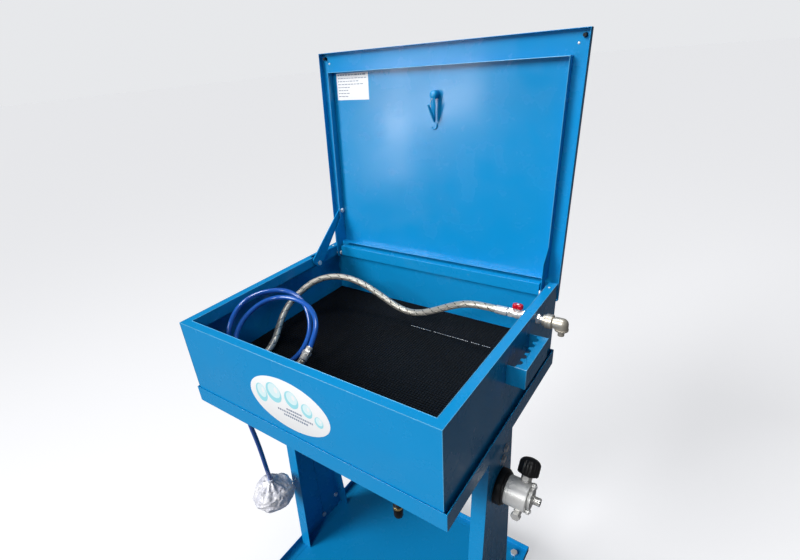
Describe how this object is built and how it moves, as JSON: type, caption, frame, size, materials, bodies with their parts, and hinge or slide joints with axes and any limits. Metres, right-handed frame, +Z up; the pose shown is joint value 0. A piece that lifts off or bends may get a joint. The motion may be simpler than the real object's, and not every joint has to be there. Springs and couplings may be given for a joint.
{
  "type": "parts washer tank",
  "caption": "Steel parts washer tub with a hinged lid and stay, on channel legs over a wheeled tray, with pump, valve and hoses.",
  "frame": {"origin": "on the floor, under the middle of the outline with the lid open, hoses left out", "axes": "+X to the right of the user, +Y away from the user towards the lid, +Z up"},
  "size_m": [0.723, 0.5344, 1.4336],
  "materials": {
    "blue_paint": "glossy blue stove enamel",
    "zinc": "bright zinc plate",
    "nickel": "nickel plated brass",
    "aluminium": "turned aluminium",
    "brass": "plain brass",
    "black_plastic": "moulded black plastic",
    "black_mat": "black ribbed mat",
    "red_enamel": "red enamel",
    "steel_braid": "woven steel braid",
    "blue_hose": "glossy blue tube",
    "mesh_steel": "steel mesh",
    "bag_film": "crumpled clear film over white",
    "tie": "white nylon",
    "tyre": "grey-black rubber"
  },
  "bodies": {
    "stand": {"bag_tie": "tie", "base_tray": "blue_paint", "beam_bolts": "zinc", "blue_hose_drop": "blue_hose", "blue_hose_loop": "blue_hose", "braided_hose": "steel_braid", "caster_bolts": "zinc", "caster_cups": "zinc", "cross_beam": "blue_paint", "drain_flange": "zinc", "drain_pipe": "brass", "foot_bolts": "zinc", "foot_cleats": "blue_paint", "hinge_bolts": "zinc", "hinge_bushes": "zinc", "hose_coupling": "nickel", "hose_ferrule": "nickel", "hose_gland": "nickel", "inlet_adapter": "nickel", "inlet_elbow": "nickel", "leg_left": "blue_paint", "leg_right": "blue_paint", "nipple_nuts": "zinc", "pump_base": "black_plastic", "pump_body": "aluminium", "pump_cap_screws": "zinc", "pump_end_cap": "aluminium", "pump_inlet": "nickel", "pump_outlet": "nickel", "regulator_stem": "nickel", "rim_lug": "blue_paint", "sieve_rails": "blue_paint", "sieve_tray": "black_mat", "stay_pin": "zinc", "strainer_bag": "bag_film", "suction_strainer": "mesh_steel", "support_band": "blue_paint", "tool_holder": "blue_paint", "tub_shell": "blue_paint", "valve_body": "nickel", "wall_nipple": "nickel"},
    "lid": {"lid_panel": "blue_paint", "lid_frame": "blue_paint", "lid_buffers": "black_mat", "lid_hook": "blue_paint", "stay_rivet": "zinc"},
    "lid_stay": {"lid_stay": "blue_paint"},
    "valve_lever": {"valve_lever": "red_enamel", "valve_ball": "nickel"},
    "regulator_knob": {"regulator_knob": "black_plastic"},
    "drain_cap": {"drain_cap": "black_plastic"},
    "fork_front_left": {"caster_fork_front_left": "zinc"},
    "wheel_front_left": {"caster_wheel_front_left": "tyre"},
    "fork_front_right": {"caster_fork_front_right": "zinc"},
    "wheel_front_right": {"caster_wheel_front_right": "tyre"},
    "fork_rear_left": {"caster_fork_rear_left": "zinc"},
    "wheel_rear_left": {"caster_wheel_rear_left": "tyre"},
    "fork_rear_right": {"caster_fork_rear_right": "zinc"},
    "wheel_rear_right": {"caster_wheel_rear_right": "tyre"}
  },
  "joints": [
    {"name": "lid_hinge", "type": "hinge", "parent": "stand", "child": "lid", "pos_m": [-0.0305, 0.2138, 0.955], "axis": [1, 0, 0], "range_deg": [0, 92.9]},
    {"name": "stay_pivot", "type": "hinge", "parent": "lid", "child": "lid_stay", "pos_m": [-0.30925, 0.24039, 1.06479], "axis": [1, 0, 0], "range_deg": [-92.9, 0]},
    {"name": "valve_turn", "type": "hinge", "parent": "stand", "child": "valve_lever", "pos_m": [0.2315, 0.1078, 0.955], "axis": [0, 0, 1], "range_deg": [0, 90]},
    {"name": "regulator_turn", "type": "hinge", "parent": "stand", "child": "regulator_knob", "pos_m": [0.3095, -0.0172, 0.621], "axis": [0, 0.5736, 0.8192], "range_deg": [-360, 360]},
    {"name": "drain_cap_pull", "type": "slide", "parent": "stand", "child": "drain_cap", "axis": [0, 0, -1], "range_m": [0, 0.03]},
    {"name": "swivel_front_left", "type": "hinge", "parent": "stand", "child": "fork_front_left", "pos_m": [-0.2995, -0.2362, 0.085], "axis": [0, 0, 1], "continuous": true},
    {"name": "roll_front_left", "type": "hinge", "parent": "fork_front_left", "child": "wheel_front_left", "pos_m": [-0.2995, -0.2122, 0.0375], "axis": [1, 0, 0], "continuous": true},
    {"name": "swivel_front_right", "type": "hinge", "parent": "stand", "child": "fork_front_right", "pos_m": [0.2385, -0.2362, 0.085], "axis": [0, 0, 1], "continuous": true},
    {"name": "roll_front_right", "type": "hinge", "parent": "fork_front_right", "child": "wheel_front_right", "pos_m": [0.2385, -0.2122, 0.0375], "axis": [1, 0, 0], "continuous": true},
    {"name": "swivel_rear_left", "type": "hinge", "parent": "stand", "child": "fork_rear_left", "pos_m": [-0.2995, 0.2028, 0.085], "axis": [0, 0, 1], "continuous": true},
    {"name": "roll_rear_left", "type": "hinge", "parent": "fork_rear_left", "child": "wheel_rear_left", "pos_m": [-0.2995, 0.2268, 0.0375], "axis": [1, 0, 0], "continuous": true},
    {"name": "swivel_rear_right", "type": "hinge", "parent": "stand", "child": "fork_rear_right", "pos_m": [0.2385, 0.2028, 0.085], "axis": [0, 0, 1], "continuous": true},
    {"name": "roll_rear_right", "type": "hinge", "parent": "fork_rear_right", "child": "wheel_rear_right", "pos_m": [0.2385, 0.2268, 0.0375], "axis": [1, 0, 0], "continuous": true}
  ],
  "couplings": [
    {"joint": "stay_pivot", "follows": "lid_hinge", "ratio": -1}
  ]
}
